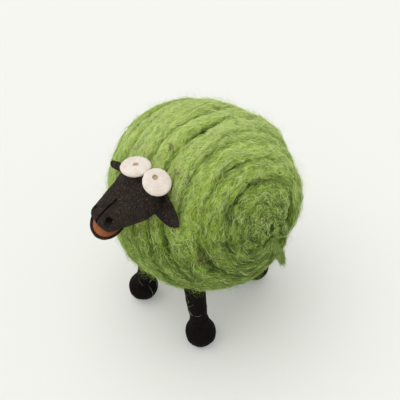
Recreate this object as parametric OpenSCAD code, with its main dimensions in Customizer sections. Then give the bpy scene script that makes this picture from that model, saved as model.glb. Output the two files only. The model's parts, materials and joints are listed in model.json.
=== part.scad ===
// A wool-and-clay sheep figurine: a ball of wound wool roving on four clay
// legs, with a clay head that turns on a steel pin. It faces -Y, its left side
// is +X, and it stands on z = 0. Millimetres.

/* [Body] */
// Diameter over the wound wool
wool_d = 75; // [72:1:80]
// Diameter of the foam ball that the wool is wound on
core_d = 52; // [46:1:56]
// Height of the middle of the ball above the ground
ball_z = 61.5; // [60:0.5:66]
// How far the ball sits behind the middle of the footprint
ball_y = 5.8; // [4:0.1:8]
// Thickness of the loose end of roving on the left flank
tail_d = 4; // [3:0.5:5]

/* [Legs] */
// Diameter of a leg where it meets its hoof
leg_low_d = 7.2; // [6.5:0.1:8]
// Diameter of a leg where it meets the foam ball
leg_top_d = 9; // [8:0.1:10]
// Diameter of a hoof
hoof_d = 12.6; // [12:0.1:13.4]
// Height of the middle of a hoof above the ground
hoof_z = 5.8; // [5.4:0.1:5.9]
// Outward place of the front hooves
front_x = 17.5; // [16:0.5:19]
// Forward place of the front hooves, from the middle of the ball
front_y = 20.2; // [18:0.1:22]
// Outward place of the rear hooves
rear_x = 11.5; // [10:0.5:16]
// Backward place of the rear hooves, from the middle of the ball
rear_y = 22; // [20:0.5:24]
// How far the legs lean inwards towards the body, in degrees
leg_splay = 10; // [6:1:14]
// How far the legs lean along the body, in degrees
leg_rake = 2.5; // [0:0.5:6]
// Diameter of the steel pins in the legs and the neck
pin_d = 1.5; // [1.2:0.1:2]

/* [Head] */
// Turn of the head to its right at rest, in degrees
head_yaw = 10.7; // [0:0.1:15]
// Droop of the nose at rest, in degrees
head_pitch = 22; // [18:1:28]
// Slope of the neck pin above the level, in degrees
neck_slope = 42; // [38:1:48]
// Gap between the back of the head and the wool
head_gap = 0.4; // [0.3:0.1:1]
// Gap between the neck pin and its hole in the head
pin_gap = 0.05; // [0.02:0.01:0.09]

/* [Face] */
// Diameter of the right eye disc
right_eye_d = 10.6; // [10:0.1:11.5]
// Diameter of the left eye disc
left_eye_d = 9.7; // [9:0.1:11]
// Thickness of an eye disc
eye_t = 2; // [1.5:0.1:3]
// Diameter of the hole poked in each eye for a pupil
pupil_d = 2.2; // [1.5:0.1:3]
// Diameter of a nostril
nostril_d = 2.8; // [2:0.1:3.5]
// Diameter of the lower jaw
jaw_d = 15.2; // [13:0.1:16]
// Thickness of the lower jaw
jaw_t = 2.4; // [2:0.1:3]
// Thickness of the tongue
tongue_t = 0.9; // [0.6:0.1:1.2]

/* [Hidden] */

wool_r = wool_d / 2;
core_r = core_d / 2;
pin_r = pin_d / 2;
ball = [0, ball_y, ball_z];
smooth = 96;
blend = 32;

black_clay = "#2d2826";
hoof_clay = "#1e1a19";
green_wool = "#6f9a3c";

// Legs: side is 1 on the left and -1 on the right, end is -1 at the front and 1 at the rear
leg_sink = 1.5;          // the leg's foot sits this far above the middle of the hoof
leg_reach = 45;          // long enough to pass the surface of the foam ball
leg_pin_from = 27;       // start of a leg pin, along the leg from the hoof's middle
leg_pin_len = 20;

// Neck: the pin runs from inside the foam ball to inside the head, through the ball's middle
neck_from = 12;
neck_in_head = 3.8;
neck_end_gap = 0.5;

// Eye discs in the head's own frame: middle of the face, and the turns that lay it down
right_eye_at = [-3.8, 0.8, 7.5];
right_eye_tilt = [-24, -6, 0];
left_eye_at = [6.6, 2.3, 6.2];
left_eye_tilt = [-17, 33, 0];
right_pupil = [-0.3, 0.4];
left_pupil = [-1.4, 0.6];
eye_round = 0.8;         // radius of the rounded edge of a disc

// Mouth in the head's own frame
jaw_at = [-2, -18, -2.9];
jaw_droop = 9;
tongue_inset = 0.9;

module at_ball() translate(ball) children();

// The head's own frame: origin where the neck pin leaves the wool, nose towards -Y
module at_head() at_ball()
    translate([0, -cos(neck_slope), sin(neck_slope)] * wool_r)
    rotate([0, 0, -head_yaw]) rotate([head_pitch, 0, 0]) children();

module along_neck() at_ball() rotate([90 - neck_slope, 0, 0]) children();

module at_hoof(side, end)
    translate([side * (end < 0 ? front_x : rear_x),
               ball_y + (end < 0 ? -front_y : rear_y), hoof_z]) children();

module along_leg(side, end)
    at_hoof(side, end) rotate([end * leg_rake, -side * leg_splay, 0]) children();

module leg_cone(side, end)
    along_leg(side, end) translate([0, 0, leg_sink])
    cylinder(r1 = leg_low_d / 2, r2 = leg_top_d / 2, h = leg_reach, $fn = smooth);

module leg_pin(side, end)
    color("silver") along_leg(side, end) translate([0, 0, leg_pin_from])
    cylinder(r = pin_r, h = leg_pin_len, $fn = smooth);

module leg(side, end) color(hoof_clay) difference() {
    leg_cone(side, end);
    at_ball() sphere(r = core_r, $fn = smooth);
    leg_pin(side, end);
}

// A ball of clay with a flat sole and a socket for the leg
module hoof(side, end) color(hoof_clay) difference() {
    at_hoof(side, end) sphere(d = hoof_d, $fn = smooth);
    leg_cone(side, end);
    at_hoof(side, end) translate([-hoof_d, -hoof_d, -hoof_z - hoof_d])
        cube([2 * hoof_d, 2 * hoof_d, hoof_d]);
}

module neck_rod(r, from, to)
    along_neck() translate([0, 0, from]) cylinder(r = r, h = to - from, $fn = smooth);

module neck_pin() color("silver") neck_rod(pin_r, neck_from, wool_r + neck_in_head);

module each_leg() for (side = [1, -1], end = [-1, 1]) {
    $side = side;
    $end = end;
    children();
}

module core() color("white") difference() {
    at_ball() sphere(r = core_r, $fn = smooth);
    each_leg() leg_pin($side, $end);
    neck_rod(pin_r, neck_from, core_r + 1);
}

// The wound wool, a thick shell with the legs and the neck pin passing through
module fleece() color(green_wool) difference() {
    at_ball() sphere(r = wool_r, $fn = smooth);
    at_ball() sphere(r = core_r, $fn = smooth);
    each_leg() leg_cone($side, $end);
    neck_rod(pin_r, core_r - 1, wool_r + 1);
}

// The last turn of roving, pulled loose on the left flank and hanging down
module roving_end() color(green_wool) difference() {
    at_ball() {
        hull() {
            translate([34.2, 2.2, -8]) sphere(d = tail_d, $fn = blend);
            translate([35.2, 6, -16]) sphere(d = tail_d * 0.8, $fn = blend);
        }
        hull() {
            translate([35.2, 6, -16]) sphere(d = tail_d * 0.8, $fn = blend);
            translate([35.4, 9.6, -23.5]) sphere(d = tail_d * 0.4, $fn = blend);
        }
    }
    at_ball() sphere(r = wool_r, $fn = smooth);
}

// Head before it is cut: a domed skull that runs down to a narrow muzzle
module head_lump() at_head() hull() {
    for (x = [-5.4, 3.8]) translate([x, 2.2, -2]) sphere(r = 5.6, $fn = blend);
    for (x = [-5.4, 4.2]) translate([x, -2.6, -0.1]) sphere(r = 6, $fn = blend);
    for (x = [-5.4, 4.8]) translate([x, -8.5, -1.3]) sphere(r = 4.9, $fn = blend);
    for (x = [-5.3, 3.1]) translate([x, -19.3, 0.2]) sphere(r = 2.5, $fn = blend);
}

// Round disc with soft edges, its face at z = 0 and its body below
module soft_disc(d, t, edge) rotate_extrude($fn = smooth) union() {
    translate([0, -t]) square([d / 2 - edge, t]);
    translate([0, edge - t]) square([d / 2, t - 2 * edge]);
    for (y = [-edge, edge - t]) translate([d / 2 - edge, y]) circle(r = edge, $fn = smooth);
}

module right_eye_disc() at_head() translate(right_eye_at) rotate(right_eye_tilt)
    soft_disc(right_eye_d, eye_t, eye_round);
module left_eye_disc() at_head() translate(left_eye_at) rotate(left_eye_tilt)
    soft_disc(left_eye_d, eye_t, eye_round);

module pupil(spot) translate([spot[0], spot[1], -eye_t * 0.7])
    cylinder(d = pupil_d, h = eye_t, $fn = smooth);

module right_eye() color("#f0e8de") difference() {
    right_eye_disc();
    at_head() translate(right_eye_at) rotate(right_eye_tilt) pupil(right_pupil);
}

// The left disc is pressed against the edge of the right one
module left_eye() color("#f0e8de") difference() {
    left_eye_disc();
    right_eye_disc();
    at_head() translate(left_eye_at) rotate(left_eye_tilt) pupil(left_pupil);
}

module at_jaw() at_head() translate(jaw_at) rotate([jaw_droop, 0, 0]) children();
module jaw_disc() at_jaw() soft_disc(jaw_d, jaw_t, 0.7);
module tongue_disc(grow = 0) at_jaw() translate([0, 0, -tongue_t])
    cylinder(d = jaw_d - 2 * tongue_inset, h = tongue_t + grow, $fn = smooth);

module lower_jaw() color(black_clay) difference() {
    jaw_disc();
    tongue_disc(1);
    clear_of_wool();
}
module tongue() color("#af5a32") difference() {
    tongue_disc();
    clear_of_wool();
}

// Room for the wool at any turn of the head, because the neck pin points at the ball's middle
module clear_of_wool() at_ball() sphere(r = wool_r + head_gap, $fn = smooth);

module head() color(black_clay) difference() {
    head_lump();
    clear_of_wool();
    right_eye_disc();
    left_eye_disc();
    jaw_disc();
    neck_rod(pin_r + pin_gap, wool_r - 1, wool_r + neck_in_head + neck_end_gap);
    at_head() nose_marks();
}

// Two nostrils poked in the sides of the muzzle and a groove down the middle
module nose_marks() {
    for (side = [-1, 1]) translate([side * 4.2 - 1.3, -19.3, 1.8])
        rotate([40, side * 45, 0]) translate([0, 0, -1])
        cylinder(d = nostril_d, h = 4, $fn = smooth);
    translate([-0.9, -16.6, 2.5]) rotate([2, 0, 0]) translate([-0.3, -5.6, 0])
        cube([0.6, 10.6, 3]);
}

// A leaf of clay from root to tip
module ear_leaf(root, middle, tip) at_head() {
    hull() {
        translate(root) sphere(d = 3, $fn = blend);
        translate(middle) sphere(d = 4, $fn = blend);
    }
    hull() {
        translate(middle) sphere(d = 4, $fn = blend);
        translate(tip) sphere(d = 2.2, $fn = blend);
    }
}

module ear(root, middle, tip) color(black_clay) difference() {
    ear_leaf(root, middle, tip);
    head_lump();
    clear_of_wool();
}
module right_ear() ear([-9.5, -1.4, 0.7], [-15, -3.2, -0.4], [-20.8, -4.3, -3.2]);
module left_ear() ear([8.6, -0.8, -0.8], [12.8, -1.8, -2.4], [16.2, -3, -7.6]);

module front_left_leg() leg(1, -1);
module front_right_leg() leg(-1, -1);
module rear_left_leg() leg(1, 1);
module rear_right_leg() leg(-1, 1);
module front_left_hoof() hoof(1, -1);
module front_right_hoof() hoof(-1, -1);
module rear_left_hoof() hoof(1, 1);
module rear_right_hoof() hoof(-1, 1);
module front_left_pin() leg_pin(1, -1);
module front_right_pin() leg_pin(-1, -1);
module rear_left_pin() leg_pin(1, 1);
module rear_right_pin() leg_pin(-1, 1);

core();
fleece();
roving_end();
neck_pin();
head();
lower_jaw();
tongue();
right_eye();
left_eye();
right_ear();
left_ear();
front_left_leg();
front_right_leg();
rear_left_leg();
rear_right_leg();
front_left_hoof();
front_right_hoof();
rear_left_hoof();
rear_right_hoof();
front_left_pin();
front_right_pin();
rear_left_pin();
rear_right_pin();
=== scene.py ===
import json
import math

import bpy
import numpy as np
from mathutils import Matrix, Vector


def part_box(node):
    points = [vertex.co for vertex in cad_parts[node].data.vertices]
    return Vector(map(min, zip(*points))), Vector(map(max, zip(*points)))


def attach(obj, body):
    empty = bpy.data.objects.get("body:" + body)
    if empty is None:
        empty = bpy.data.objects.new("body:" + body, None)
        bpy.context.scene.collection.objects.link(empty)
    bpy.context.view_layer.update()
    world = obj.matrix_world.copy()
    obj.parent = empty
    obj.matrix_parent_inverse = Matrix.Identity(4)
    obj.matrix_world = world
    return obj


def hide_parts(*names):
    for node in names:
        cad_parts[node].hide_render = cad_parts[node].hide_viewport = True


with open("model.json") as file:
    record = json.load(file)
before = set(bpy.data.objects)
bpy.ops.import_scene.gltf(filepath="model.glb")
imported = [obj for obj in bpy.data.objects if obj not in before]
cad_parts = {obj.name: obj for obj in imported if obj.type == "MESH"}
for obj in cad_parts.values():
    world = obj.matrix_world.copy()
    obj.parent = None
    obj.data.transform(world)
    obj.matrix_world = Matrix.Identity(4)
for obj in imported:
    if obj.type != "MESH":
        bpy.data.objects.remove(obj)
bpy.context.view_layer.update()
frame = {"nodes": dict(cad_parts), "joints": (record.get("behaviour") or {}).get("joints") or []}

bpy.ops.object.select_all(action="DESELECT")

MM = 0.001
fleece_low, fleece_high = (Vector(corner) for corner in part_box("fleece"))
BALL = (fleece_low + fleece_high) / 2
WOOL_R = (fleece_high.z - fleece_low.z) / 2
HEAD_CLEAR = 0.4 * MM              # gap between the back of the head and the wool

# The head's own frame, as in the part's source: origin where the neck pin
# leaves the wool, nose towards -Y, turned a little to its right and drooping.
HEAD_YAW = math.radians(10.7)
HEAD_PITCH = math.radians(22)
neck = frame["joints"][0]
HEAD_FRAME = (
    Matrix.Translation(BALL + Vector(neck["axis"]).normalized() * WOOL_R)
    @ Matrix.Rotation(-HEAD_YAW, 4, "Z")
    @ Matrix.Rotation(HEAD_PITCH, 4, "X")
)


# ---- camera

CAMERA_AZIMUTH = math.radians(43.3)       # round from the sheep's front towards its left
CAMERA_HEIGHT = math.radians(46.0)
CAMERA_FAR = 0.26
LENS = 60.3
AIM_LEFT = 1.44 * MM                      # the camera aims this far from the middle of the ball
AIM_LOW = 2.68 * MM


def set_camera():
    back = Vector((
        math.sin(CAMERA_AZIMUTH) * math.cos(CAMERA_HEIGHT),
        -math.cos(CAMERA_AZIMUTH) * math.cos(CAMERA_HEIGHT),
        math.sin(CAMERA_HEIGHT),
    ))
    right = Vector((math.cos(CAMERA_AZIMUTH), math.sin(CAMERA_AZIMUTH), 0))
    look_at = BALL - right * AIM_LEFT - back.cross(right) * AIM_LOW
    data = bpy.data.cameras.new("camera")
    data.lens = LENS
    data.clip_start = 0.01
    camera = bpy.data.objects.new("camera", data)
    bpy.context.collection.objects.link(camera)
    camera.location = look_at + back * CAMERA_FAR
    camera.rotation_mode = "QUATERNION"
    camera.rotation_quaternion = (-back).to_track_quat("-Z", "Y")
    bpy.context.scene.camera = camera


# ---- node helpers

def feed(tree, made, values):
    """Fills a node's inputs, each with a socket to join or a constant."""
    for name, value in values.items():
        if isinstance(value, bpy.types.NodeSocket):
            tree.links.new(value, made.inputs[name])
        else:
            made.inputs[name].default_value = value
    return made


def node(tree, kind, values=None, **settings):
    made = tree.nodes.new(kind)
    for name, value in settings.items():
        setattr(made, name, value)
    return feed(tree, made, values or {})


def arithmetic(tree, operation, *terms):
    """The result of one sum; each term is a socket or a constant."""
    made = node(tree, "ShaderNodeMath", dict(enumerate(terms)), operation=operation)
    return made.outputs["Value"]


def weighted_sum(tree, terms, start=0.0):
    """Adds up socket values, each times its own weight, to a start value."""
    for socket, weight in terms:
        start = arithmetic(tree, "MULTIPLY_ADD", socket, weight, start)
    return start


def remap(tree, value, low, high, to_low=0.0, to_high=1.0):
    return node(tree, "ShaderNodeMapRange", {
        "Value": value, "From Min": low, "From Max": high, "To Min": to_low, "To Max": to_high,
    }).outputs["Result"]


def blend(tree, share, first, second):
    """Two colours mixed; the mix node's colour sockets have no names of their own."""
    return node(tree, "ShaderNodeMix", {0: share, 6: first, 7: second}, data_type="RGBA").outputs[2]


def noise(tree, place, scale, detail, **more):
    return node(tree, "ShaderNodeTexNoise",
                {"Vector": place, "Scale": scale, "Detail": detail, **more}).outputs["Fac"]


def object_place(tree):
    return node(tree, "ShaderNodeTexCoord").outputs["Object"]


def bump(tree, height, depth, strength):
    """The normal of a relief that is depth mm deep."""
    return node(tree, "ShaderNodeBump", {
        "Height": height, "Distance": depth * MM, "Strength": strength,
    }).outputs["Normal"]


def ramp(tree, value, stops):
    """The colour at value on a ramp of place and colour pairs."""
    made = node(tree, "ShaderNodeValToRGB", {"Fac": value})
    band = made.color_ramp
    while len(band.elements) < len(stops):
        band.elements.new(0.5)
    for element, (place, colour) in zip(band.elements, stops):
        element.position = place
        element.color = (*colour, 1)
    return made.outputs["Color"]


def new_group(name, inputs, outputs):
    """A shader group, its given sockets and its result node; outputs are name to kind."""
    group = bpy.data.node_groups.new(name, "ShaderNodeTree")
    for label, value in inputs.items():
        kind = "Color" if isinstance(value, tuple) else "Float"
        socket = group.interface.new_socket(label, in_out="INPUT", socket_type=f"NodeSocket{kind}")
        socket.default_value = value
    for label, kind in outputs.items():
        group.interface.new_socket(label, in_out="OUTPUT", socket_type=f"NodeSocket{kind}")
    return group, group.nodes.new("NodeGroupInput").outputs, group.nodes.new("NodeGroupOutput")


def use_group(tree, group, values=None):
    placed = tree.nodes.new("ShaderNodeGroup")
    placed.node_tree = group
    return feed(tree, placed, values or {}).outputs


def new_material(name, roughness):
    material = bpy.data.materials.new(name)
    material.use_nodes = True
    shader = material.node_tree.nodes["Principled BSDF"]
    shader.inputs["Roughness"].default_value = roughness
    return material, material.node_tree, shader


# ---- studio

def soft_sun(name, place, spread, power):
    """Light from the direction of place, from a patch of sky spread degrees wide."""
    data = bpy.data.lights.new(name, "SUN")
    data.angle = math.radians(spread)
    data.energy = power
    lamp = bpy.data.objects.new(name, data)
    bpy.context.collection.objects.link(lamp)
    lamp.location = BALL + Vector(place)
    lamp.rotation_mode = "QUATERNION"
    lamp.rotation_quaternion = (BALL - lamp.location).to_track_quat("-Z", "Y")


PAPER_WHITE = (0.90, 0.91, 0.87, 1)
HORIZON = 0.64           # how bright the soft dome is low down
OVERHEAD = 0.08          # how much brighter it is straight overhead
SUN_PLACE = (-0.20, -0.20, 1.0)
SUN_SPREAD = 66
SUN_POWER = 1.42


def set_studio():
    """A soft dome, a little brighter overhead, and one wide sun; the backdrop itself looks pale."""
    world = bpy.data.worlds.new("studio")
    world.use_nodes = True
    tree = world.node_tree
    way = node(tree, "ShaderNodeTexCoord").outputs["Generated"]
    above = node(tree, "ShaderNodeSeparateXYZ", {"Vector": way}).outputs["Z"]
    steep = arithmetic(tree, "POWER", remap(tree, above, 0.0, 1.0), 2.0)
    dome = feed(tree, tree.nodes["Background"], {
        "Color": (1.0, 1.0, 0.99, 1),
        "Strength": arithmetic(tree, "MULTIPLY_ADD", steep, OVERHEAD, HORIZON),
    })
    backdrop = node(tree, "ShaderNodeBackground", {"Color": PAPER_WHITE, "Strength": 1.0})
    choice = node(tree, "ShaderNodeMixShader", {
        0: node(tree, "ShaderNodeLightPath").outputs["Is Camera Ray"],
        1: dome.outputs["Background"],
        2: backdrop.outputs["Background"],
    })
    feed(tree, tree.nodes["World Output"], {"Surface": choice.outputs["Shader"]})
    bpy.context.scene.world = world
    soft_sun("key_light", SUN_PLACE, SUN_SPREAD, SUN_POWER)
    bpy.context.scene.view_settings.view_transform = "Standard"


def make_floor():
    bpy.ops.mesh.primitive_plane_add(size=8, location=(0, 0, 0))
    floor = bpy.context.object
    floor.name = "floor"
    paper, tree, shader = new_material("pale_paper", 0.9)
    feed(tree, shader, {
        "Base Color": (0.68, 0.685, 0.65, 1),
        "Emission Color": PAPER_WHITE,
        "Emission Strength": 0.18,                # a backlit table, as in a light tent
    })
    floor.data.materials.append(paper)


# ---- clay finishes

def make_clay_group():
    """Matte hand-modelled clay: a slow mottle, a fine grain, pale flecks and a dented surface."""
    group, given, result = new_group(
        "hand_modelled_clay",
        {
            "Base": (0.03, 0.03, 0.03, 1), "Mottle": (0.05, 0.05, 0.05, 1),
            "Fleck": (0.3, 0.28, 0.25, 1), "Fleck share": 0.1,
            "Grain per metre": 3000.0, "Relief": 0.3, "Dryness": 0.8,
        },
        {"Color": "Color", "Roughness": "Float", "Normal": "Vector"},
    )
    place = object_place(group)
    slow = noise(group, place, 420.0, 3.0, Roughness=0.6)
    fine = noise(group, place, given["Grain per metre"], 4.0, Roughness=0.7)
    chance = noise(group, place, 900.0, 1.0)
    spots = node(group, "ShaderNodeTexVoronoi", {"Vector": place, "Scale": 1500.0})

    ground = blend(group, remap(group, slow, 0.35, 0.68), given["Base"], given["Mottle"])
    spotted = arithmetic(group, "MULTIPLY", remap(group, spots.outputs["Distance"], 0.34, 0.14),
                         remap(group, chance, 0.50, 0.62))
    grainy = remap(group, fine, 0.45, 0.75, 0.0, 0.5)
    share = arithmetic(group, "MULTIPLY", arithmetic(group, "MAXIMUM", spotted, grainy),
                       given["Fleck share"])
    height = arithmetic(group, "MULTIPLY_ADD", fine, 0.35, slow)
    feed(group, result, {
        "Color": blend(group, share, ground, given["Fleck"]),
        "Roughness": arithmetic(group, "MULTIPLY_ADD", slow, -0.18, given["Dryness"]),
        "Normal": bump(group, height, 0.4, given["Relief"]),
    })
    return group


def clay(name, group, base, mottle, fleck, share, grain, relief, dryness, shine):
    material, tree, shader = new_material(name, 0.85)
    finish = use_group(tree, group, {
        "Base": (*base, 1), "Mottle": (*mottle, 1), "Fleck": (*fleck, 1),
        "Fleck share": share, "Grain per metre": grain, "Relief": relief, "Dryness": dryness,
    })
    feed(tree, shader, {
        "Base Color": finish["Color"], "Roughness": finish["Roughness"], "Normal": finish["Normal"],
        "Specular IOR Level": shine,
    })
    return material


CLAYS = {       # base, mottle and fleck colours; fleck share, grain, relief, dryness, shine
    "black": ((0.0060, 0.0046, 0.0037), (0.020, 0.0146, 0.0114), (0.26, 0.195, 0.150),
              0.50, 3400.0, 0.65, 0.88, 0.10),
    "hoof": ((0.0045, 0.0034, 0.0028), (0.008, 0.006, 0.005), (0.03, 0.022, 0.018),
             0.2, 3000.0, 0.30, 0.85, 0.05),
    "white": ((0.85, 0.775, 0.69), (0.76, 0.67, 0.58), (0.50, 0.40, 0.31),
              0.60, 2600.0, 1.0, 0.95, 0.2),
    # pupil: a darker, browner copy of the white clay, put inside the poked pit as painted shade.
    "pupil": ((0.50, 0.38, 0.25), (0.56, 0.44, 0.31), (0.22, 0.16, 0.11),
              0.5, 2600.0, 0.4, 0.95, 0.2),
    "tongue": ((0.34, 0.100, 0.036), (0.42, 0.14, 0.055), (0.24, 0.06, 0.025),
               0.5, 3200.0, 0.35, 0.85, 0.2),
}


def make_clays():
    group = make_clay_group()
    return {name: clay(f"{name}_clay", group, *look) for name, look in CLAYS.items()}


# ---- wool finishes

def make_combed_group():
    """Streaks of combed fibre: u runs along the roving and v across it, both in centimetres; it
    also passes on the rovings' painted light and shade.
    """
    group, given, result = new_group(
        "combed_fibre", {"Along": 2.4, "Across": 7.5},
        {"Streak": "Float", "Felt": "Float", "Tone": "Float", "Painted shading": "Float"},
    )
    roving = node(group, "ShaderNodeUVMap", uv_map="roving").outputs["UV"]
    parts = node(group, "ShaderNodeSeparateXYZ", {"Vector": roving}).outputs
    stretched = node(group, "ShaderNodeCombineXYZ", {
        "X": arithmetic(group, "MULTIPLY", parts["X"], given["Along"]),
        "Y": arithmetic(group, "MULTIPLY", parts["Y"], given["Across"]),
    }).outputs["Vector"]
    place = object_place(group)
    feed(group, result, {
        "Streak": noise(group, stretched, 1.6, 5.0, Roughness=0.75, Distortion=0.9),
        "Tone": noise(group, place, 260.0, 2.0, Roughness=0.5),
        "Felt": noise(group, place, 1300.0, 4.0, Roughness=0.75, Distortion=1.2),
        "Painted shading": node(group, "ShaderNodeAttribute", attribute_name="painted_shading").outputs["Fac"],
    })
    return group


# Tones of one green wool, dark to pale. Besides random tone, darker ones go low between the turns
# and in the flank coil, paler ones on top and at the outline's sides: painted shade and painted
# light.
WOOL_SHADES = {
    "deep": (0.035, 0.064, 0.005),
    "shade": (0.110, 0.182, 0.015),
    "leaf": (0.225, 0.355, 0.030),
    "grass": (0.395, 0.540, 0.090),
    "light": (0.575, 0.720, 0.190),
    "pale": (0.740, 0.850, 0.370),
}
WOOL_BLOOM = {      # the pale bloom of fine fibre ends along a woolly edge
    "Sheen Weight": 0.5, "Sheen Roughness": 0.45, "Sheen Tint": (0.78, 1.0, 0.50, 1),
    "Specular IOR Level": 0.1,
}


def make_wool(name, group):
    material, tree, shader = new_material(name, 0.95)
    combed = use_group(tree, group)
    # Painted light and shade from the rovings' attribute: dark low between the turns, light on top
    # and at the outline's sides; streak, felt and tone are random.
    light = weighted_sum(tree, [
        (combed["Streak"], 1.7), (combed["Felt"], 1.0), (combed["Tone"], 0.9),
        (combed["Painted shading"], 0.34),
    ], -1.62)
    height = weighted_sum(tree, [(combed["Streak"], 1.0), (combed["Felt"], 0.8)])
    places = {"deep": 0.15, "shade": 0.36, "leaf": 0.58, "grass": 0.78, "light": 0.95}
    feed(tree, shader, {
        "Base Color": ramp(tree, light, [(at, WOOL_SHADES[shade]) for shade, at in places.items()]),
        "Normal": bump(tree, height, 0.9, 0.8),
        **WOOL_BLOOM,
    })
    return material


def make_painted_shade_wool(name):
    """Wool deep between the turns: matted and in shade, and coloured darker than the outer wool as
    painted shade.
    """
    material, tree, shader = new_material(name, 0.95)
    matted = noise(tree, object_place(tree), 900.0, 4.0, Roughness=0.7)
    stops = [(0.3, (0.022, 0.040, 0.004)), (0.7, WOOL_SHADES["deep"])]
    feed(tree, shader, {
        "Base Color": ramp(tree, matted, stops),
        "Normal": bump(tree, matted, 0.4, 0.8),
    })
    return material


def make_fibre(name, colour):
    material, tree, shader = new_material(name, 0.9)
    feed(tree, shader, {"Base Color": (*colour, 1), **WOOL_BLOOM})
    return material


# ---- hidden pieces

def make_foam():
    """Pressed foam beads: pale cells with a fine dark line between them."""
    material, tree, shader = new_material("beaded_foam", 0.7)
    beads = node(tree, "ShaderNodeTexVoronoi", {"Vector": object_place(tree), "Scale": 420.0},
                 feature="DISTANCE_TO_EDGE")
    colour = ramp(tree, beads.outputs["Distance"],
                  [(0.0, (0.55, 0.55, 0.54)), (0.08, (0.88, 0.88, 0.87))])
    feed(tree, shader, {"Base Color": colour, "Normal": bump(tree, colour, 0.3, 0.6)})
    return material


def make_steel():
    """Drawn wire: bright metal with fine scratches."""
    material, tree, shader = new_material("drawn_steel", 0.3)
    scratches = noise(tree, object_place(tree), 2500.0, 3.0)
    feed(tree, shader, {
        "Metallic": 1.0,
        "Base Color": ramp(tree, scratches, [(0.3, (0.42, 0.42, 0.43)), (0.7, (0.62, 0.62, 0.63))]),
        "Roughness": remap(tree, scratches, 0.0, 1.0, 0.22, 0.42),
    })
    return material


def finish_hidden_nodes():
    """The foam ball and the steel pins keep their own shape and only take a finish."""
    foam, steel = make_foam(), make_steel()
    for name, piece in frame["nodes"].items():
        if name == "core" or name.endswith("_pin"):
            piece.data.materials.clear()
            piece.data.materials.append(foam if name == "core" else steel)


# ---- winding the wool

WIND_AXIS = np.array([0.94, -0.15, 0.32])     # from the middle out through the left flank
WIND_AXIS /= np.linalg.norm(WIND_AXIS)
WIND_SIDE = np.cross(WIND_AXIS, (0, 0, 1))
WIND_SIDE /= np.linalg.norm(WIND_SIDE)
WIND_DOWN = np.cross(WIND_AXIS, WIND_SIDE)
CENTRE = np.array(BALL)
PAINTED_RIM_LINE = np.array([0.73, 0.68, 0.0])       # the camera's left-right line: the wool is painted lighter towards both its ends, the outline's sides, as painted rim light
STEP = 1.0 * MM                                   # spacing of the rings along a roving
AROUND = 18                                       # corners round a roving


def unit(vectors):
    return vectors / np.linalg.norm(vectors, axis=-1, keepdims=True)


def wander(rng, x, sizes_and_lengths):
    """A smooth random wave: each pair is an amplitude and a wavelength in the units of x."""
    total = np.zeros_like(x)
    for size, length in sizes_and_lengths:
        total += size * np.sin(2 * np.pi * (x / length + rng.random()))
    return total


def ends_fade(count, run):
    """1 along the middle, falling smoothly to 0 over the first and last run rings."""
    place = np.arange(count)
    near = np.clip(np.minimum(place, count - 1 - place) / run, 0, 1)
    return near * near * (3 - 2 * near)


def flat_top(angle):
    """The two half sizes' shares round a roving's section: steep sides and a flattened top."""
    across, out = np.cos(angle), np.sin(angle)
    return np.sign(across) * np.abs(across) ** 0.9, np.sign(out) * np.abs(out) ** 0.7


class Roving:
    """One laid length of roving: its middle line, the two ways across it and its half sizes."""

    def __init__(self, points, width, height, layer, frizz=0.5):
        self.middle = points
        self.along = unit(np.gradient(points, axis=0))
        outward = unit(points - CENTRE)
        self.side = unit(np.cross(outward, self.along))
        self.out = np.cross(self.along, self.side)
        self.width = width
        self.height = height
        self.layer = layer
        self.frizz = frizz                        # how far its fibres stray from its own way

    def surface(self, place, angle, lift=0.0):
        """Points at ring number place (it may be a fraction) and angle round the section."""
        low = np.clip(np.floor(place).astype(int), 0, len(self.middle) - 2)
        part = np.clip(place - low, 0, 1)[..., None]

        def between(values):
            values = values if values.ndim > 1 else values[:, None]
            return values[low] * (1 - part) + values[low + 1] * part

        across, out = flat_top(angle)
        return (
            between(self.middle)
            + between(self.side) * between(self.width) * (across * (1 + lift))[..., None]
            + between(self.out) * between(self.height) * (out * (1 + lift))[..., None]
        )


LUMPS = [                                         # way out, rise in mm, spread in degrees
    ((-0.25, 0.70, 0.65), -2.0, 20), ((0.0, 0.70, 0.70), -1.3, 15),
    ((0.45, 0.85, 0.30), -2.2, 13), ((-0.85, -0.05, 0.55), 1.2, 24),
    ((0.75, 0.65, -0.05), 0.6, 12), ((0.70, -0.25, -0.65), 0.9, 14),
    ((0.35, -0.65, -0.70), -1.0, 12), ((-0.30, 0.10, 0.95), -0.9, 20),
    ((0.0, 0.30, -0.95), -0.5, 30),
]


def lumpy(points):
    """How far the wool stands above or below a true ball at these points."""
    way = unit(points - CENTRE)
    rise = np.zeros(way.shape[:-1])
    for out, height, spread in LUMPS:
        apart = np.degrees(np.arccos(np.clip(way @ unit(np.array(out)), -1, 1)))
        rise += height * MM * np.exp(-(apart / spread) ** 2)
    return rise


def rays(tilt, turn):
    """Ways out of the ball at an angle tilt from the winding axis and turned round it."""
    return (
        np.cos(tilt)[:, None] * WIND_AXIS
        + (np.sin(tilt) * np.cos(turn))[:, None] * WIND_SIDE
        + (np.sin(tilt) * np.sin(turn))[:, None] * WIND_DOWN
    )


def even_steps(points):
    """The same path with its points STEP apart."""
    run = np.concatenate([[0], np.cumsum(np.linalg.norm(np.diff(points, axis=0), axis=1))])
    marks = np.arange(0, run[-1], STEP)
    return np.stack([np.interp(marks, run, points[:, k]) for k in range(3)], axis=1)


END_DIVE = 2.4 * MM


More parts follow.
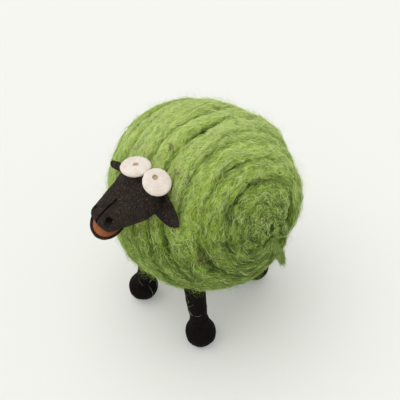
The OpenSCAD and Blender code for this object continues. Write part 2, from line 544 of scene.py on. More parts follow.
def lay(rng, path, width, height, raise_by, layer, fade=14, frizz=0.5):
    """Lays one roving over the ball and makes its ends dive under its neighbours."""
    points = even_steps(CENTRE + path * WOOL_R)
    count = len(points)
    run = np.arange(count) * STEP / MM
    wide = width * (1 + wander(rng, run, [(0.09, 37), (0.08, 15), (0.05, 6)]))
    high = height * (1 + wander(rng, run, [(0.06, 29), (0.04, 11)]))
    ends = ends_fade(count, fade)
    sway = wander(rng, run, [(0.30 * MM, 61), (0.15 * MM, 23), (0.06 * MM, 9)])
    drop = high + 0.5 * MM - raise_by - sway + (1 - ends) * END_DIVE - lumpy(points)
    points = CENTRE + unit(points - CENTRE) * (WOOL_R - drop)[:, None]
    return Roving(points, wide * (0.45 + 0.55 * ends), high * (0.5 + 0.5 * ends), layer, frizz)


CROSSINGS = 9


def wind_ball(rng):
    """Turns of roving laid side by side from flank to flank, with a few laid slanting across."""
    rovings = []
    edge = 8.0 * MM                               # arc from the left pole to the first turn's edge
    stop = np.pi * WOOL_R - 4 * MM
    while edge < stop:
        wide = rng.uniform(4.6, 8.8) * MM
        middle = (edge + wide / 2) / WOOL_R
        start = rng.uniform(1.8, 2.4)                          # its ends meet under the rump
        turn = np.linspace(start, start + 2 * np.pi * 1.06, 400)
        calm = np.clip(np.sin(middle) * 1.5, 0.2, 1)
        tilt = middle + calm * (
            np.radians(rng.uniform(1.0, 3.2)) * np.sin(turn + rng.uniform(0, 6.3))
            + wander(rng, turn, [(np.radians(0.9), 2.3), (np.radians(0.5), 0.9)]))
        snug = 0.50 if rng.random() < 0.7 else rng.uniform(0.54, 0.60)
        rovings.append(lay(rng, rays(tilt, turn), wide * snug, rng.uniform(2.5, 3.2) * MM,
                           rng.uniform(-0.5, 0.4) * MM, "main", 16, rng.uniform(0.25, 0.5)))
        edge += wide
    for _ in range(CROSSINGS):
        span = rng.uniform(0.3, 0.7) * 2 * np.pi
        turn = np.linspace(0, span, 300) + rng.uniform(0, 2 * np.pi)
        start = rng.uniform(np.radians(34), np.radians(140))
        slant = np.radians(rng.uniform(4, 10)) * rng.choice([-1, 1])
        tilt = (start + slant * np.linspace(-1, 1, 300)
                + wander(rng, turn, [(np.radians(1.2), 2.1), (np.radians(0.6), 0.8)]))
        width = rng.uniform(2.4, 3.8) * MM
        rovings.append(lay(rng, rays(tilt, turn), width, rng.uniform(1.4, 1.8) * MM,
                           rng.uniform(-0.05, 0.35) * MM, "cross", 30))
    for side in (1, -1):
        rovings += flank_folds(rng, side)
    return rovings


FOLDS = 24


def flank_folds(rng, side):
    """Loose curls and folds round one end of the winding axis, some standing proud.

    Each is an arc drawn on the flat against that end of the ball, in mm."""
    folds = []
    for k in range(FOLDS):
        ring = 0.8 + 11.5 * (k / (FOLDS - 1)) ** 0.75
        turn = 2.4 * k
        middle = np.array([math.cos(turn), math.sin(turn)]) * ring * rng.uniform(0.75, 1.1)
        radius = rng.uniform(4.0, 8.5)
        facing = turn + rng.normal(0, 0.7)
        hub = middle - radius * np.array([math.cos(facing), math.sin(facing)])
        span = rng.uniform(8.0, 15.0) / radius
        angle = facing + np.linspace(-span / 2, span / 2, 60)
        bow = radius * (1 + wander(rng, angle, [(0.10, 1.6)]))
        across = (hub[0] + bow * np.cos(angle)) * MM / WOOL_R
        down = (hub[1] + bow * np.sin(angle)) * MM / WOOL_R
        path = unit(side * WIND_AXIS + across[:, None] * WIND_SIDE + down[:, None] * WIND_DOWN)
        width = rng.uniform(1.4, 2.5) * MM
        proud = rng.uniform(-1.0, 0.9) * MM
        folds.append(lay(rng, path, width, width * rng.uniform(0.75, 1.05), proud, "cross", 4, 0.8))
    return folds


def closed_sweep(rings):
    """Vertices, walls and end caps of closed tubes; rings is shaped (tube, length, around, 3)."""
    tubes, length, around, _ = rings.shape
    index = np.arange(tubes * length * around).reshape(tubes, length, around)
    here, ahead = index[:, :-1], index[:, 1:]
    walls = np.stack([
        here, np.roll(here, -1, axis=2), np.roll(ahead, -1, axis=2), ahead,
    ], axis=-1).reshape(-1, 4)
    return rings.reshape(-1, 3), walls, np.concatenate([index[:, 0, ::-1], index[:, -1]])


def mesh_object(name, verts, walls, caps):
    """A smooth mesh object from vertex rows, four-sided walls and rows of cap corners."""
    loops = np.concatenate([walls.reshape(-1), caps.reshape(-1)])
    sizes = np.concatenate([np.full(len(walls), 4), np.full(len(caps), caps.shape[1])])
    mesh = bpy.data.meshes.new(name)
    mesh.vertices.add(len(verts))
    mesh.vertices.foreach_set("co", verts.astype(np.float32).reshape(-1))
    mesh.loops.add(len(loops))
    mesh.loops.foreach_set("vertex_index", loops.astype(np.int32))
    mesh.polygons.add(len(sizes))
    mesh.polygons.foreach_set("loop_start", (np.cumsum(sizes) - sizes).astype(np.int32))
    mesh.update(calc_edges=True)
    mesh.polygons.foreach_set("use_smooth", np.full(len(sizes), True))
    piece = bpy.data.objects.new(name, mesh)
    bpy.context.collection.objects.link(piece)
    return piece


def flank_coil(points):
    """One in the tight middle of the flank coil, falling to nothing away from it."""
    return np.exp((unit(points - CENTRE) @ WIND_AXIS - 1) / 0.26)


def painted_light(points):
    """Painted light and shade: lighter on top, where light falls from above, and towards both ends
    of the view's left-right line, as painted rim light; darker in the flank coil, as painted shade.
    """
    way = unit(points - CENTRE)
    ends = np.abs(way @ PAINTED_RIM_LINE) ** 3
    return np.clip(way[:, 2], 0, 1) + 0.30 * ends - 0.40 * flank_coil(points)


def roving_piece(rng, name, rovings, material):
    """The wound rovings as one mesh of closed strands, with ridges of combed fibre."""
    angle = np.linspace(0, 2 * np.pi, AROUND, endpoint=False)
    verts, walls, caps, uvs, painted_shadings, offset = [], [], [], [], [], 0
    for roving in rovings:
        count = len(roving.middle)
        run = np.arange(count) * STEP / MM
        ridge = sum(
            share * np.sin(order * angle[None, :]
                           + wander(rng, run, [(1.6, 31), (0.9, 13)])[:, None])
            for order, share in ((3, 0.04), (5, 0.06), (7, 0.045))
        )
        place = np.repeat(np.arange(count, dtype=float)[:, None], AROUND, axis=1)
        rings = roving.surface(place, np.repeat(angle[None, :], count, axis=0), ridge)
        flat, wall, cap = closed_sweep(rings[None])
        verts.append(flat)
        walls.append(wall + offset)
        caps.append(cap + offset)
        u = np.repeat((run / 10 + rng.random() * 50)[:, None], AROUND, axis=1)
        v = np.repeat((angle * 0.33)[None, :], count, axis=0)
        uvs.append(np.stack([u, v], axis=-1).reshape(-1, 2))
        # Painted shading: each roving is lighter on the top of its section and darker low at its
        # sides between the turns, plus the painted light and shade of the whole ball.
        pale = painted_light(roving.middle)
        painted_shadings.append((np.clip(np.sin(angle), 0, 1)[None, :] + 1.3 * pale[:, None]).reshape(-1))
        offset += len(flat)
    piece = mesh_object(name, np.concatenate(verts), np.concatenate(walls), np.concatenate(caps))
    mesh = piece.data
    corner = np.empty(len(mesh.loops), dtype=np.int32)
    mesh.loops.foreach_get("vertex_index", corner)
    layer = mesh.uv_layers.new(name="roving")
    layer.uv.foreach_set("vector", np.concatenate(uvs)[corner].astype(np.float32).reshape(-1))
    painted_shading = mesh.attributes.new("painted_shading", "FLOAT", "POINT")
    painted_shading.data.foreach_set("value", np.concatenate(painted_shadings).astype(np.float32))
    mesh.materials.append(material)
    return piece


# ---- loose fibres

FIBRE_POINTS = 5
FIBRE_SIDES = 3


def fibre_rings(points, thickness):
    """Three-sided rings round fibre lines shaped (fibre, point, 3), tapering to both ends."""
    along = unit(np.gradient(points, axis=1))
    outward = unit(points - CENTRE)
    side = unit(np.cross(outward, along))
    out = np.cross(along, side)
    taper = np.sin(np.linspace(0.25, np.pi - 0.25, points.shape[1])) ** 0.6
    radius = (thickness[:, None] * taper[None, :])[:, :, None, None]
    angle = np.arange(FIBRE_SIDES) * 2 * np.pi / FIBRE_SIDES
    cos, sin = np.cos(angle)[None, None, :, None], np.sin(angle)[None, None, :, None]
    return points[:, :, None, :] + radius * (side[:, :, None, :] * cos + out[:, :, None, :] * sin)


def fibre_piece(name, points, thickness, shade, materials):
    """One mesh of many closed fibres, each in one of the given plain shades."""
    flat, walls, caps = closed_sweep(fibre_rings(points, thickness))
    piece = mesh_object(name, flat, walls, caps)
    per_wall = np.repeat(shade, (points.shape[1] - 1) * FIBRE_SIDES)
    piece.data.polygons.foreach_set(
        "material_index", np.concatenate([per_wall, shade, shade]).astype(np.int32))
    for material in materials:
        piece.data.materials.append(material)
    piece.data.update()
    return piece


def nap_fibres(rng, rovings, count):
    """Short frizzy fibres lying roughly along the rovings, and a shade value for each: how high on
    its roving it lies and how far it arches off it, as painted shade low down, plus its lock's tone
    and the painted light from above and at the outline's sides.
    """
    size = np.array([
        len(r.middle) * np.mean(r.width) * (1 + (r.layer == "cross")) for r in rovings])
    chosen = rng.choice(len(rovings), size=count, p=size / size.sum())
    t = np.linspace(0, 1, FIBRE_POINTS)[None, :]
    lines, high = [], []
    for k, roving in enumerate(rovings):
        n = int((chosen == k).sum())
        rings = len(roving.middle)
        length = np.minimum(rng.gamma(4, 0.85, n) + 1.2, rings - 3)[:, None]
        start = rng.uniform(0, rings - 1 - length[:, 0])[:, None]
        across = rng.uniform(-0.95, 0.95, n)
        angle0 = np.arccos(across)[:, None]
        heading = rng.normal(0, roving.frizz, n)[:, None]
        bend = rng.normal(0, 2.6 * roving.frizz, n)[:, None]
        waves = rng.uniform(0.5, 1.4, n)[:, None]
        phase = rng.uniform(0, 2 * np.pi, n)[:, None]
        curl = 1.1 * roving.frizz * np.sin(2 * np.pi * waves * t + phase)
        way = heading + bend * (t - 0.5) + curl
        stride = length / (FIBRE_POINTS - 1)
        forward = (np.cumsum(np.cos(way), axis=1) - np.cos(way[:, :1])) * stride
        sideways = (np.cumsum(np.sin(way), axis=1) - np.sin(way[:, :1])) * stride
        sideways -= sideways.mean(axis=1, keepdims=True)
        angle = angle0 + sideways * MM / np.mean(roving.width)
        bow = rng.gamma(1.4, 0.07, n)[:, None]
        lift = -0.03 + bow * np.sin(np.pi * t) + 0.015 * np.sin(4 * np.pi * t + phase)
        line = roving.surface(start + forward, angle, lift)
        lines.append(line)
        lock = np.sin(across * np.mean(roving.width) / MM * 3.1
                      + wander(rng, start[:, 0], [(2.2, 23), (1.6, 9)]))
        # Painted light and shade: a fibre is lighter high on its roving and when arched off it,
        # lighter on top and at the outline's sides and darker in the flank coil; its lock pattern
        # is fainter under the painted light and stronger in the coil.
        pale = painted_light(line[:, 0])
        patchy = 0.50 - 0.15 * pale + 0.30 * flank_coil(line[:, 0])
        painted_shading = np.sin(angle0[:, 0]) ** 1.5 * 1.05
        high.append(painted_shading + patchy * lock + bow[:, 0] + 0.85 * pale - 0.12)
    return np.concatenate(lines), np.concatenate(high)


def curly_fibres(rng, rovings, count, long_low, long_high, rise_by):
    """Curls laid every way over the turns: they bridge the grooves and soften the outline."""
    main = [r for r in rovings if r.layer == "main"]
    size = np.array([len(r.middle) for r in main], dtype=float)
    chosen = rng.choice(len(main), size=count, p=size / size.sum())
    t = np.linspace(0, 1, FIBRE_POINTS)[None, :, None]
    lines = []
    for k, roving in enumerate(main):
        n = int((chosen == k).sum())
        place = rng.uniform(1, len(roving.middle) - 2, n)
        foot = roving.surface(place[:, None], np.arccos(rng.uniform(-1, 1, n))[:, None])
        near = np.round(place).astype(int)
        outward = unit(foot - CENTRE)
        heading = rng.normal(0, 0.6, n)[:, None, None]
        ahead = (np.cos(heading) * roving.along[near][:, None, :]
                 + np.sin(heading) * roving.side[near][:, None, :])
        ahead = unit(ahead - outward * (ahead * outward).sum(-1, keepdims=True))
        across = np.cross(outward, ahead)
        length = rng.uniform(long_low, long_high, n)[:, None, None] * MM
        bend = rng.normal(0, 1.0, n)[:, None, None]
        rise = rng.gamma(1.6, rise_by, n)[:, None, None] * MM
        swing = bend * (t - 0.5)
        forward = np.cumsum(np.cos(swing), axis=1) / FIBRE_POINTS
        sideways = np.cumsum(np.sin(swing), axis=1) / FIBRE_POINTS
        lines.append(foot + ahead * length * forward + across * length * sideways
                     + outward * (rise * np.sin(np.pi * (0.08 + 0.8 * t)) - 0.15 * MM))
    lines = np.concatenate(lines)
    return lines[unit(lines[:, 0] - CENTRE)[:, 2] > -0.72]       # none hangs over the legs


def pick_shades(rng, high):
    """Painted shade and light: darker shades low between the rovings, paler ones high on their
    tops, with a random spread.
    """
    value = high * 3.4 + rng.normal(0, 0.85, len(high)) - 0.45
    return np.clip(np.floor(value), 0, 5).astype(int)


PACKED_DEPTH = 3.0 * MM
PACKED_THICK = 6.0 * MM
NAP_PIECES = 5
HALO_PIECES = 2
PER_PIECE = 7500         # fibres in each piece of nap and of halo
CURLS = 3200


def under_wool(material):
    """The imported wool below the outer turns, a thick shell round the foam ball."""
    bpy.ops.object.select_all(action="DESELECT")
    bpy.ops.mesh.primitive_ico_sphere_add(subdivisions=6, radius=WOOL_R - PACKED_DEPTH)
    piece = bpy.context.object
    piece.name = "packed_wool"
    put(piece, Matrix.Translation(BALL))

    def follow_lumps(co):
        return co + (co - BALL).normalized() * float(lumpy(np.array(co)))

    reshape(piece, follow_lumps)
    dent(piece, 7, 1.2)
    bpy.ops.object.shade_smooth()
    apply_modifier(piece, "SOLIDIFY", thickness=PACKED_THICK, offset=-1)
    piece.data.materials.append(material)
    return piece


def make_fleece(rng, wool, painted_shade_wool, shades):
    rovings = wind_ball(rng)
    pieces = [
        under_wool(painted_shade_wool),
        roving_piece(rng, "wound_roving", [r for r in rovings if r.layer == "main"], wool),
        roving_piece(rng, "crossing_roving", [r for r in rovings if r.layer == "cross"], wool),
    ]
    for k in range(NAP_PIECES):
        lines, high = nap_fibres(rng, rovings, PER_PIECE)
        count = len(lines)
        thickness = np.where(rng.random(count) < 0.3, rng.uniform(0.08, 0.12, count),
                             rng.uniform(0.04, 0.08, count)) * MM
        pieces.append(fibre_piece(f"wool_nap_{k + 1}", lines, thickness,
                                  pick_shades(rng, high), shades))
    curls = curly_fibres(rng, rovings, CURLS, 2.0, 5.0, 0.25)
    pieces.append(fibre_piece("wool_curls", curls, rng.uniform(0.03, 0.05, len(curls)) * MM,
                              rng.integers(1, 5, len(curls)), shades))
    for k in range(HALO_PIECES):
        halo = curly_fibres(rng, rovings, PER_PIECE, 2.0, 6.0, 0.65)
        count = len(halo)
        # Painted light and shade: halo fibres lighter on top and at the outline's sides, darker in
        # the flank coil.
        shade = 3.1 + 2.2 * painted_light(halo[:, 0]) + rng.uniform(0, 1, count)
        pieces.append(fibre_piece(f"wool_halo_{k + 1}", halo, rng.uniform(0.014, 0.025, count) * MM,
                                  np.clip(np.floor(shade), 2, 5).astype(int), shades))
    for piece in pieces:
        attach(piece, "torso")
        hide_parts("fleece")


# ---- shaping clay

def select_only(piece):
    bpy.ops.object.select_all(action="DESELECT")
    piece.select_set(True)
    bpy.context.view_layer.objects.active = piece


def apply_modifier(piece, kind, **settings):
    select_only(piece)
    modifier = piece.modifiers.new(kind.lower(), kind)
    for name, value in settings.items():
        setattr(modifier, name, value)
    bpy.ops.object.modifier_apply(modifier=modifier.name)


def face_outwards():
    bpy.ops.mesh.select_all(action="SELECT")
    bpy.ops.mesh.normals_make_consistent(inside=False)
    bpy.ops.object.mode_set(mode="OBJECT")


def round_rings(profile):
    """Rings for build_up from heights and radii up a straight middle."""
    return [(height, 0, 0, radius, radius) for height, radius in profile]


def build_up(name, rings, sides=16, finish=3):
    """Raises a closed lump from a small disc, ring by ring.

    Each ring gives its height, the place of its middle and its two half sizes, in mm."""
    bpy.ops.object.select_all(action="DESELECT")
    height, x, y, wide, deep = rings[0]
    bpy.ops.mesh.primitive_circle_add(vertices=sides, radius=MM, fill_type="NGON")
    piece = bpy.context.object
    piece.name = name
    bpy.ops.object.mode_set(mode="EDIT")
    bpy.ops.mesh.select_all(action="SELECT")
    bpy.ops.transform.resize(value=(wide, deep, 1), center_override=(0, 0, 0))
    bpy.ops.transform.translate(value=(x * MM, y * MM, height * MM))
    for ring in rings[1:]:
        move = [(ring[k] - (height, x, y)[k]) * MM for k in range(3)]
        bpy.ops.mesh.extrude_region_move(
            TRANSFORM_OT_translate={"value": (move[1], move[2], move[0])})
        grow = (ring[3] / wide, ring[4] / deep, 1)
        height, x, y, wide, deep = ring
        bpy.ops.transform.resize(value=grow, center_override=(x * MM, y * MM, height * MM))
    face_outwards()
    bpy.ops.object.shade_smooth()
    apply_modifier(piece, "SUBSURF", levels=finish, render_levels=finish)
    return piece


def put(piece, matrix):
    piece.data.transform(matrix)
    piece.data.update()
    return piece


def dent(piece, size, depth):
    """The soft unevenness that fingers leave in clay."""
    texture = bpy.data.textures.new(f"{piece.name}_dents", "CLOUDS")
    texture.noise_scale = size * MM
    texture.noise_depth = 2
    apply_modifier(piece, "DISPLACE", texture=texture, strength=depth * MM, mid_level=0.5,
                   texture_coords="LOCAL")


def cut_out(piece, cutter):
    apply_modifier(piece, "BOOLEAN", object=cutter, operation="DIFFERENCE", solver="EXACT")
    bpy.data.objects.remove(cutter)


def reshape(piece, move):
    """Moves each vertex to where the function move puts it."""
    for vertex in piece.data.vertices:
        vertex.co = move(vertex.co)
    piece.data.update()


def poke(name, place, way, radius, depth):
    """A round-ended peg for poking a hole of that depth, aimed along way."""
    peg = build_up(name, round_rings([
        (-depth, radius * 0.35), (-depth * 0.85, radius * 0.8), (-depth * 0.4, radius),
        (0.4, radius * 1.12), (1.6, radius * 1.5),
    ]), finish=1)
    turn = Vector(way).to_track_quat("Z", "Y").to_matrix().to_4x4()
    return put(peg, Matrix.Translation(Vector(place) * MM) @ turn)


def finish_clay(piece, material, body, slot, *nodes):
    piece.data.materials.append(material)
    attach(piece, body)
    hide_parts(*nodes)


# ---- the head

NOSE_ALONG_Z = Matrix.Rotation(math.radians(90), 4, "X")      # built upwards, laid along the nose
HEAD_RINGS = [      # forward, across, up, half width, half height
    (-4.8, -0.9, -2.0, 1.0, 0.8), (-4.2, -0.9, -2.0, 5.2, 2.8), (-2.6, -0.9, -2.0, 8.2, 4.4),
    (-0.2, -0.8, -1.6, 10.1, 5.6), (2.8, -0.6, -0.6, 10.8, 6.2), (6.0, -0.4, -0.8, 10.6, 5.8),
    (9.5, -0.3, -1.1, 9.9, 5.0), (13.0, -0.5, -0.7, 8.7, 4.1), (16.5, -0.8, -0.1, 7.4, 3.3),
    (18.8, -1.1, 0.1, 6.8, 2.8), (20.7, -1.1, 0.1, 6.0, 2.3), (21.6, -1.1, 0.1, 4.2, 1.4),
    (21.9, -1.1, 0.1, 0.8, 0.4),
]
MIDLINE = -0.9
PALATE = -1.9
NOSTRILS = [((-5.6, -19.0, 1.5), (-0.62, -0.55, 0.62)), ((2.9, -18.2, 1.9), (0.5, -0.6, 0.62))]


def smooth_step(value, start, end):
    share = min(max((value - start) / (end - start), 0), 1)
    return share * share * (3 - 2 * share)


def press_to_wool(piece):
    """Presses the back of a piece flat against the ball of wool, at the clearance."""
    reach = WOOL_R + HEAD_CLEAR

    def outside(co):
        away = co - BALL
        return BALL + away.normalized() * reach if away.length < reach else co

    reshape(piece, outside)


def fit_to_head(piece, place, material, slot, part):
    """Carries a piece of the head to its place, presses it to the wool and finishes it."""
    put(piece, place)
    press_to_wool(piece)
    finish_clay(piece, material, "head", slot, part)


def make_head(material):
    head = build_up("sheep_head", HEAD_RINGS, sides=20)
    put(head, NOSE_ALONG_Z)

    def lift_palate(co):
        forward = -co.y / MM
        floor = -8 + (8 + PALATE) * smooth_step(forward, 8.5, 13.5)
        return Vector((co.x, co.y, max(co.z, floor * MM)))

    def meet_eyes(co):
        """Raises the brow to the underside of each eye, so that both sit in the clay."""
        for side, (_, _, radius, _) in EYES.items():
            laid = eye_place(side)
            at = laid.inverted() @ co
            under = -1.5 * MM - at.z
            if co.z > 0 and 0 < under < 7 * MM:
                off = math.hypot(at.x, at.y) / MM
                at.z += under * (1 - smooth_step(off, radius * 0.72, radius * 1.02))
                co = laid @ at
        return co

    reshape(head, lift_palate)
    reshape(head, meet_eyes)
    dent(head, 6, 0.5)
    dent(head, 1.1, 0.14)
    for place, way in NOSTRILS:
        cut_out(head, poke("nostril_peg", place, way, 1.35, 2.6))
    cut_out(head, nose_groove())
    fit_to_head(head, HEAD_FRAME, material, "black_clay", "head")


def nose_groove():
    """A blade bent down over the nose, to cut the line from the bridge to the lip."""
    bpy.ops.object.select_all(action="DESELECT")
    bpy.ops.mesh.primitive_cube_add(size=1)
    blade = bpy.context.object
    put(blade, Matrix.Diagonal((0.95 * MM, 1, 1, 1)))
    bpy.ops.object.mode_set(mode="EDIT")
    bpy.ops.mesh.select_all(action="SELECT")
    bpy.ops.mesh.subdivide(number_cuts=15)
    bpy.ops.object.mode_set(mode="OBJECT")

    def follow(co):
        along = co.y + 0.5                        # 0 on the bridge, 1 at the lip
        depth = co.z + 0.5                        # 0 at the bottom of the groove, 1 outside
        angle = math.radians(86) * smooth_step(along, 0.55, 1.0)
        bottom_up = 1.9 - 0.9 * smooth_step(along, 0.35, 0.8) - 2.6 * smooth_step(along, 0.72, 1.0)
        bottom_out = 11.5 + 10.2 * min(along / 0.85, 1) - 0.2 * along
        start = 1 - smooth_step(along, 0.0, 0.12)
        out = Vector((0, -math.sin(angle), math.cos(angle)))
        across = co.x / MM * (1 - 0.3 * (1 - depth)) + MIDLINE
        base = Vector((across, -bottom_out, bottom_up + start - 0.3))
        return (base + out * depth * 2.8) * MM

    reshape(blade, follow)
    bpy.ops.object.mode_set(mode="EDIT")
    face_outwards()
    return blade


# ---- jaw and tongue

JAW_PLACE = Matrix.Translation(Vector((-2.0, -18.0, -2.9)) * MM) @ Matrix.Rotation(
    math.radians(9), 4, "X")


def make_jaw(material):
    jaw = build_up("lower_jaw_dish", round_rings([
        (-2.3, 1.5), (-2.25, 4.6), (-1.75, 6.6), (-0.9, 7.4), (-0.25, 7.6), (0.05, 7.4),
        (0.0, 6.95), (-0.45, 6.6), (-0.85, 6.2), (-0.9, 1.2),
    ]), sides=24, finish=2)
    dent(jaw, 4, 0.3)
    fit_to_head(jaw, HEAD_FRAME @ JAW_PLACE, material, "black_clay", "lower_jaw")


def make_tongue(material):
    tongue = build_up("mouth_tongue", round_rings([
        (-0.95, 1.5), (-0.9, 5.9), (-0.55, 6.55), (-0.22, 6.4), (-0.1, 5.4), (-0.02, 2.5),
        (0.0, 0.6),
    ]), sides=24, finish=2)
    dent(tongue, 3, 0.2)
    fit_to_head(tongue, HEAD_FRAME @ JAW_PLACE, material, "tongue_clay", "tongue")


# ---- eyes

EYES = {        # middle of the face, the turns that lay it down, radius, place of the pupil
    "right": ((-3.8, 0.8, 7.6), (-24, -6), 5.3, (0.1, 0.1)),
    "left": ((6.6, 2.3, 6.2), (-17, 29), 4.9, (-1.45, 0.3)),
}
EYE_PROFILE = [         # height in mm, share of the eye's radius
    (-2.3, 0.25), (-2.25, 0.70), (-1.85, 0.93), (-1.1, 1.03), (-0.45, 0.98), (-0.12, 0.84),
    (0.06, 0.55), (0.12, 0.12),
]
PUPIL_RADIUS = 1.0
PUPIL_DEPTH = 0.75


def eye_place(side):
    place, tilt = EYES[side][:2]
    return (
        Matrix.Translation(Vector(place) * MM)
        @ Matrix.Rotation(math.radians(tilt[1]), 4, "Y")
        @ Matrix.Rotation(math.radians(tilt[0]), 4, "X")
    )


def make_eye(side, white, pupil):
    radius, spot = EYES[side][2:]
    profile = [(height, radius * share) for height, share in EYE_PROFILE]
    eye = build_up(f"{side}_eye_ball", round_rings(profile), sides=24)
    dent(eye, 3.2, 0.28)
    dent(eye, 0.8, 0.2)
    cut_out(eye, poke("pupil_peg", (*spot, 0.05), (0, 0, 1), PUPIL_RADIUS, PUPIL_DEPTH))
    # The faces inside the poked pit take the pupil clay, painted shade in the hole.
    in_hole = [
        polygon.index for polygon in eye.data.polygons
        if math.hypot(polygon.center.x / MM - spot[0],
                      polygon.center.y / MM - spot[1]) < PUPIL_RADIUS + 0.12
        and -PUPIL_DEPTH - 0.2 < polygon.center.z / MM < -0.08
    ]
    fit_to_head(eye, HEAD_FRAME @ eye_place(side), white, "white_clay", f"{side}_eye")
    eye.data.materials.append(pupil)
    for index in in_hole:
        eye.data.polygons[index].material_index = 1


# ---- ears

EARS = {        # root, middle and tip of the leaf, the way its face looks, its widths
    "left": ((5.8, 1.0, -0.4), (13.7, -0.8, -2.8), (16.3, -3.0, -7.2), (0.45, -0.70, 0.55),
             (3.4, 4.2, 2.6, 1.2)),
    "right": ((-8.0, -1.2, 0.6), (-15.0, -3.2, -0.2), (-21.2, -4.4, -3.6), (-0.10, -0.75, 0.65),
              (2.0, 1.8, 1.4, 1.0)),
}


def make_ear(side, material):
    root, middle, tip, face, widths = EARS[side]
    root, middle, tip = Vector(root), Vector(middle), Vector(tip)
    wide = np.interp(np.linspace(0, 1, 9), np.linspace(0, 1, 4), widths)
    ear = build_up(f"{side}_ear_leaf", [
        (place, 0, 0, width * round_off, 1.05 * round_off)
        for place, width, round_off in zip(
            (0, 0.06, 0.2, 0.4, 0.6, 0.8, 0.93, 0.99, 1.0), wide,
            (0.5, 0.9, 1, 1, 1, 1, 0.96, 0.75, 0.3))
    ], sides=14)

    def bend(co):
        share = co.z / MM
        middle_line = root * (1 - share) ** 2 + middle * 2 * share * (1 - share) + tip * share ** 2
        along = ((middle - root) * (1 - share) + (tip - middle) * share).normalized()
        across = along.cross(Vector(face)).normalized()
        out = across.cross(along)
        x, y = co.x / MM, co.y / MM
        fold = 0.24 * x * x - 0.5                 # the leaf is cupped along its length
        return (middle_line + across * x + out * (y + fold)) * MM

    reshape(ear, bend)
    dent(ear, 2.5, 0.4)
    fit_to_head(ear, HEAD_FRAME, material, "black_clay", f"{side}_ear")


# ---- legs and hooves

LEG_LEAN = math.radians(10)
LEG_RAKE = math.radians(2.5)
LEG_PROFILE = [         # height along the leg and radius, mm
    (1.5, 2.0), (1.6, 3.5), (4.0, 3.65), (7.0, 3.65), (11.0, 3.8), (16.0, 4.05), (21.0, 4.35),
    (28.0, 4.5), (35.0, 4.5), (39.5, 4.5), (39.8, 2.0),
]
HOOF_PROFILE = [        # height off the ground and radius, mm
    (0.0, 1.2), (0.02, 2.6), (0.55, 4.0), (2.2, 5.6), (4.8, 6.65), (7.2, 6.6), (9.0, 5.9),
    (10.4, 5.05), (12.0, 4.35), (13.8, 4.0), (15.4, 3.75), (15.5, 1.5),
]
HOOF_UPRIGHT = 7        # above this height a hoof leans with its leg


def leg_place(name, side, end):
    low, high = (Vector(corner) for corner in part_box(f"{name}_hoof"))
    foot = (low + high) / 2
    foot.z = high.z - (high.x - low.x) / 2
    return (
        Matrix.Translation(foot)
        @ Matrix.Rotation(-side * LEG_LEAN, 4, "Y") @ Matrix.Rotation(end * LEG_RAKE, 4, "X")
    ), foot


def make_leg(name, side, end, material):
    place, foot = leg_place(name, side, end)
    leg = build_up(f"{name}_post", round_rings(LEG_PROFILE))
    put(leg, place)
    dent(leg, 5, 0.7)
    finish_clay(leg, material, "torso", "hoof_clay", f"{name}_leg")
    hoof = build_up(f"{name}_foot", [
        (height, -side * max(height - HOOF_UPRIGHT, 0) * math.tan(LEG_LEAN),
         -end * max(height - HOOF_UPRIGHT, 0) * math.tan(LEG_RAKE), radius, radius)
        for height, radius in HOOF_PROFILE
    ], sides=20)
    put(hoof, Matrix.Translation((foot.x, foot.y, 0)))
    dent(hoof, 5, 0.6)
    reshape(hoof, lambda co: Vector((co.x, co.y, max(co.z, 0))))
    finish_clay(hoof, material, "torso", "hoof_clay", f"{name}_hoof")


# ---- loose end, burrs and hairs

def smooth_path(points, count):
    """Points spread evenly by number along a smooth curve through the given ones."""
    points = np.array(points, dtype=float)
    ends = np.concatenate([[2 * points[0] - points[1]], points, [2 * points[-1] - points[-2]]])
    place = np.linspace(0, len(points) - 1.000001, count)
    k, t = np.floor(place).astype(int), (place % 1)[:, None]
    a, b, c, d = ends[k], ends[k + 1], ends[k + 2], ends[k + 3]
    return 0.5 * (2 * b + (c - a) * t + (2 * a - 5 * b + 4 * c - d) * t ** 2
                  + (3 * b - a - 3 * c + d) * t ** 3)


TAIL_PATH = [       # mm from the middle of the ball
    (33.5, -1.5, 2.0), (35.4, 0.6, -4.0), (35.8, 3.2, -10.0), (35.2, 6.0, -15.5),
    (34.6, 7.8, -19.2), (34.8, 9.0, -22.4),
]
TAIL_FIBRES = 1300


def make_tail(rng, wool, shades):
    points = even_steps(CENTRE + smooth_path(TAIL_PATH, 120) * MM)
    count = len(points)
    taper = np.interp(np.arange(count) / count, [0, 0.45, 0.8, 1], [1.3, 1.1, 0.75, 0.2])
    tail = Roving(points, taper * MM, taper * 0.8 * MM, "tail", 0.35)
    each = (TAIL_FIBRES, 1)
    run = rng.uniform(0, count - 4, each) + np.linspace(0, 4.5, FIBRE_POINTS)
    turn = rng.uniform(0, 2 * np.pi, each)
    turn = turn + rng.normal(0, 0.5, each) * np.linspace(0, 1, FIBRE_POINTS)
    stray = rng.gamma(1.3, 0.35, each) * np.sin(np.pi * np.linspace(0.05, 0.85, FIBRE_POINTS))
    beyond = np.clip(run - (count - 1), 0, None)[..., None] * STEP
    splay = np.clip(run - 0.7 * count, 0, None)[..., None] * 0.5
    lines = (tail.surface(run, turn, stray) + beyond * tail.along[-1]
             + rng.normal(0, 0.22 * MM, (*each, 3)) * splay)
    shade = np.clip(rng.normal(3.0, 1.3, TAIL_FIBRES), 0, 5).astype(int)
    pieces = [
        roving_piece(rng, "tail_roving", [tail], wool),
        fibre_piece("tail_fibres", lines, rng.uniform(0.035, 0.08, len(lines)) * MM, shade, shades),
    ]
    for piece in pieces:
        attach(piece, "torso")
        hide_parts("roving_end")


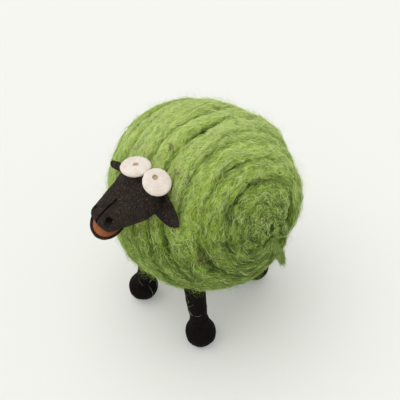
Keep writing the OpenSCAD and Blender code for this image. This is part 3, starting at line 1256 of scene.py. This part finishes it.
BURRS = [           # way out of the ball, how many fibres, how far they spread in mm
    ((0.66, -0.74, 0.13), 60, 1.1), ((-0.01, -0.43, 0.90), 26, 1.1),
    ((0.19, -0.56, 0.81), 14, 1.5),
]
BURR_SHADES = {
    "brown": (0.15, 0.065, 0.028), "tan": (0.36, 0.20, 0.10), "dark": (0.05, 0.025, 0.015),
}


def make_burrs(rng, shades):
    """Small tangles of brown plant matter caught in the wool."""
    t = np.linspace(0, 1, FIBRE_POINTS)[None, :, None]
    lines = []
    for way, count, spread in BURRS:
        out = unit(np.array(way))
        foot = CENTRE + out * (WOOL_R - 0.2 * MM)
        loose = rng.normal(size=(count, 2, 3))
        flat = loose - out * (loose @ out)[..., None]
        rise = rng.uniform(-0.3, 0.7, (count, 1, 1)) * MM
        lines.append(foot + flat[:, :1] * spread * 0.6 * MM + flat[:, 1:] * 0.8 * MM * (t - 0.5)
                     + out * (rise + 0.4 * MM * np.sin(np.pi * t))
                     + 0.2 * MM * np.sin(7 * t + 3 * loose[:, :1]))
    lines = np.concatenate(lines)
    piece = fibre_piece("burrs", lines, rng.uniform(0.04, 0.09, len(lines)) * MM,
                        rng.integers(0, len(shades), len(lines)), shades)
    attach(piece, "torso")


FRONT_LEFT = 43         # degrees round a leg from the front
HAIRS = {           # height up the leg in mm, degrees round it from the front left, reach in mm
    "front_left": [
        [(24, -47, 4.4), (22, -35, 4.5), (21, -50, 4.5), (19.5, -75, 4.4)],
        [(21.2, -9, 4.5), (20, -27, 4.6), (18.4, -49, 4.7), (17, -42, 4.6), (15.6, -33, 4.5),
         (14.6, -24, 4.4), (15.2, -43, 4.4), (15.8, -64, 4.3)],
        [(14.6, -21, 4.4), (14.3, 10, 4.35), (13.9, 75, 4.3)],
    ],
    "front_right": [
        [(11, -50, 4.0), (9.4, -30, 4.6), (8.3, -5, 5.0)],
        [(8.5, 20, 5.0), (5, 34, 6.3), (2, 38, 6.9), (-1, 32, 7.0)],
    ],
}


def make_hairs(material):
    """Stray pale fibres that cling to the front legs."""
    for name, side in (("front_left", 1), ("front_right", -1)):
        place, _ = leg_place(name, side, -1)
        lines = []
        for path in HAIRS[name]:
            points = []
            for height, turn, reach in path:
                way = math.radians(turn + FRONT_LEFT)
                at = Vector((reach * math.sin(way), -reach * math.cos(way), height))
                points.append(place @ (at * MM))
            lines.append(smooth_path(points, 16))
        piece = fibre_piece(f"{name}_hairs", np.array(lines), np.full(len(lines), 0.065 * MM),
                            np.zeros(len(lines), dtype=int), [material])
        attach(piece, "torso")


# ---- making the sheep

set_camera()
set_studio()
make_floor()
clays = make_clays()
combed = make_combed_group()
wool = make_wool("wound_wool", combed)
shades = [make_fibre(f"fibre_{name}", colour) for name, colour in WOOL_SHADES.items()]
rng = np.random.default_rng(41)
painted_shade_wool = make_painted_shade_wool("packed_wool")
make_fleece(rng, wool, painted_shade_wool, shades)
make_tail(rng, wool, shades)
make_burrs(rng, [make_fibre(f"burr_{name}", colour) for name, colour in BURR_SHADES.items()])
make_hairs(make_fibre("stray_hair", (0.30, 0.26, 0.18)))
finish_hidden_nodes()

make_head(clays["black"])
make_jaw(clays["black"])
make_tongue(clays["tongue"])
for side in EYES:
    make_eye(side, clays["white"], clays["pupil"])
for side in EARS:
    make_ear(side, clays["black"])
for end, end_name in ((-1, "front"), (1, "rear")):
    for side, side_name in ((1, "left"), (-1, "right")):
        make_leg(f"{end_name}_{side_name}", side, end, clays["hoof"])
